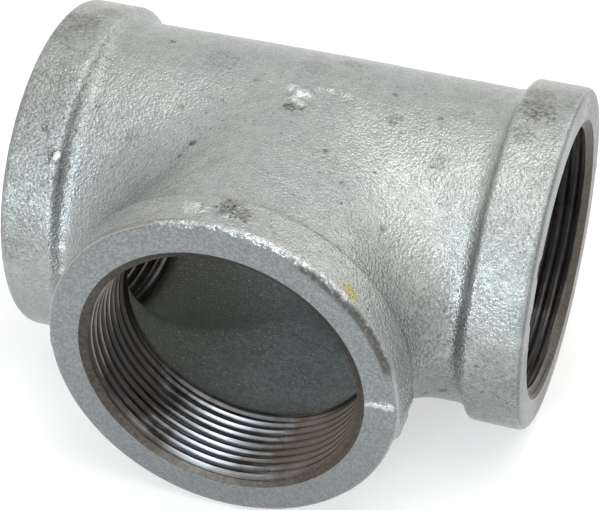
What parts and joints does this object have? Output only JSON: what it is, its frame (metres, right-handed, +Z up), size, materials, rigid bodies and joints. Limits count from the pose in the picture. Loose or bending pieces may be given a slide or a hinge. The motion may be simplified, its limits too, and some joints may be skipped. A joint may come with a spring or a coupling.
{
  "type": "pipe tee fitting",
  "caption": "Galvanised malleable iron pipe tee: a hollow run with a branch at right angles, a reinforcing band round each port and an internal taper pipe thread in each.",
  "frame": {"origin": "bottom centre of the bounding box: the middle of the length and of the depth, on the plane the three bands lie on", "axes": "+X along the run, -Y out of the branch, +Z up, at right angles to the plane that holds both axes"},
  "size_m": [0.1142, 0.0944, 0.0746],
  "materials": {
    "galvanised_casting": "hot-dip galvanised sand casting, fine grainy skin, satin",
    "bare_cut_thread": "bare machined iron, oiled, lightly browned"
  },
  "bodies": {
    "root": {"tee_body": "galvanised_casting", "run_band_left": "galvanised_casting", "run_band_right": "galvanised_casting", "branch_band": "galvanised_casting", "run_left_thread": "bare_cut_thread", "run_right_thread": "bare_cut_thread", "branch_thread": "bare_cut_thread"}
  },
  "joints": []
}
